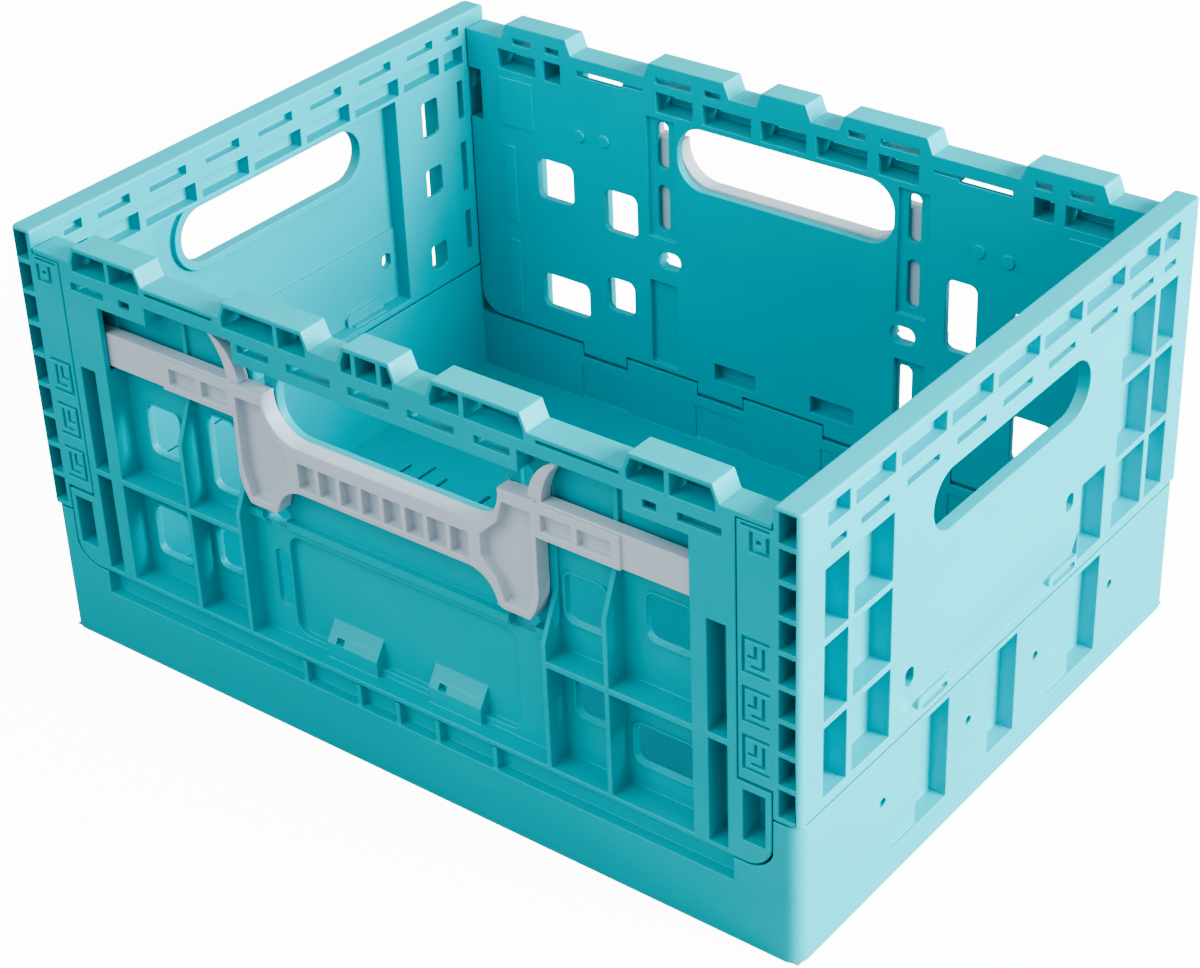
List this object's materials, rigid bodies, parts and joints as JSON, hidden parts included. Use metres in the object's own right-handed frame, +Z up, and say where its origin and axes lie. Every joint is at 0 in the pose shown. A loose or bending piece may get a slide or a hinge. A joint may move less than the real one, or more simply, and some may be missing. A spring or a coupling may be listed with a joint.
{
  "type": "collapsible storage crate",
  "caption": "Open-topped folding plastic crate with ribbed fold-in walls, a castellated stacking rim, obround hand holes and sliding latches around the long-side holes.",
  "frame": {"origin": "centre of the underside, on the ground plane", "axes": "+X along the long walls, the front long wall is at -Y, +Z up"},
  "size_m": [0.4, 0.298, 0.2045],
  "materials": {
    "wall": "fine spark-eroded turquoise polypropylene",
    "base_tray": "fine spark-eroded turquoise polypropylene",
    "latch": "smooth light grey acetal"
  },
  "bodies": {
    "base": {"base_floor": "base_tray", "base_front_rim": "base_tray", "base_left_rim": "base_tray", "base_rear_rim": "base_tray", "base_right_rim": "base_tray", "left_wall_flanges": "wall", "left_wall_left_post": "wall", "left_wall_panel": "wall", "left_wall_right_post": "wall", "left_wall_top_rail": "wall", "right_wall_flanges": "wall", "right_wall_left_post": "wall", "right_wall_panel": "wall", "right_wall_right_post": "wall", "right_wall_top_rail": "wall"},
    "front_wall": {"front_wall_hinge_knuckles": "wall", "front_wall_left_end": "wall", "front_wall_left_shoulder": "wall", "front_wall_panel": "wall", "front_wall_right_end": "wall", "front_wall_right_shoulder": "wall", "front_wall_top_rail": "wall"},
    "front_latch": {"front_latch_grip": "latch", "front_latch_left_arm": "latch", "front_latch_left_leg": "latch", "front_latch_right_arm": "latch", "front_latch_right_leg": "latch", "front_latch_spring_fingers": "latch"},
    "rear_wall": {"rear_wall_hinge_knuckles": "wall", "rear_wall_left_end": "wall", "rear_wall_left_shoulder": "wall", "rear_wall_panel": "wall", "rear_wall_right_end": "wall", "rear_wall_right_shoulder": "wall", "rear_wall_top_rail": "wall"},
    "rear_latch": {"rear_latch_grip": "latch", "rear_latch_left_arm": "latch", "rear_latch_left_leg": "latch", "rear_latch_right_arm": "latch", "rear_latch_right_leg": "latch", "rear_latch_spring_fingers": "latch"}
  },
  "joints": [
    {"name": "front_wall_fold", "type": "hinge", "parent": "base", "child": "front_wall", "pos_m": [0, -0.138, 0.036], "axis": [-1, 0, 0], "range_deg": [0, 90]},
    {"name": "rear_wall_fold", "type": "hinge", "parent": "base", "child": "rear_wall", "pos_m": [0, 0.138, 0.036], "axis": [1, 0, 0], "range_deg": [0, 81]},
    {"name": "front_latch_lift", "type": "slide", "parent": "front_wall", "child": "front_latch", "axis": [0, 0, 1], "range_m": [0, 0.008], "stiffness_N_per_m": 500, "springref_m": -0.004, "deforming": ["front_latch_spring_fingers"]},
    {"name": "rear_latch_lift", "type": "slide", "parent": "rear_wall", "child": "rear_latch", "axis": [0, 0, 1], "range_m": [0, 0.008], "stiffness_N_per_m": 500, "springref_m": -0.004, "deforming": ["rear_latch_spring_fingers"]}
  ]
}
